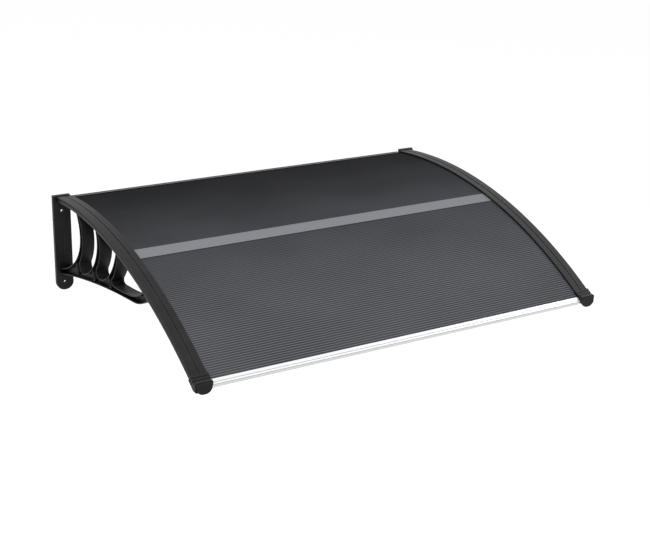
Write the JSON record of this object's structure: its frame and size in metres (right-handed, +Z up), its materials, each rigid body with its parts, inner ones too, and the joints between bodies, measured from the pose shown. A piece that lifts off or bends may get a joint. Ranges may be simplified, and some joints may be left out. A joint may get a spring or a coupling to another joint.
{
  "type": "door canopy",
  "caption": "Arched door canopy: tinted twin-wall sheet on ribbed wall brackets, clamped by cover strips, with aluminium edge profiles and black end caps.",
  "frame": {"origin": "middle of the back face of the rear profile, on the wall line and halfway between the brackets", "axes": "+X along the wall, +Y into the wall, +Z up; the roof reaches out towards -Y"},
  "size_m": [1.22, 0.924, 0.2968],
  "materials": {
    "black_plastic": "fine moulded grain, satin",
    "tinted_sheet": "grey tinted twin-wall polycarbonate, glossy",
    "aluminium": "extruded, matt anodised",
    "dark_aluminium": "extruded, anodised black",
    "zinc_steel": "zinc plated"
  },
  "bodies": {
    "root": {"centre_bar": "aluminium", "front_profile": "aluminium", "left_bracket": "black_plastic", "left_cap_screw": "zinc_steel", "left_cover_screw_1": "zinc_steel", "left_cover_screw_2": "zinc_steel", "left_cover_screw_3": "zinc_steel", "left_cover_screw_4": "zinc_steel", "left_cover_screw_5": "zinc_steel", "left_cover_screw_6": "zinc_steel", "left_cover_strip": "black_plastic", "left_end_cap": "black_plastic", "rear_profile": "dark_aluminium", "right_bracket": "black_plastic", "right_cap_screw": "zinc_steel", "right_cover_screw_1": "zinc_steel", "right_cover_screw_2": "zinc_steel", "right_cover_screw_3": "zinc_steel", "right_cover_screw_4": "zinc_steel", "right_cover_screw_5": "zinc_steel", "right_cover_screw_6": "zinc_steel", "right_cover_strip": "black_plastic", "right_end_cap": "black_plastic", "roof_sheet": "tinted_sheet"}
  },
  "joints": []
}
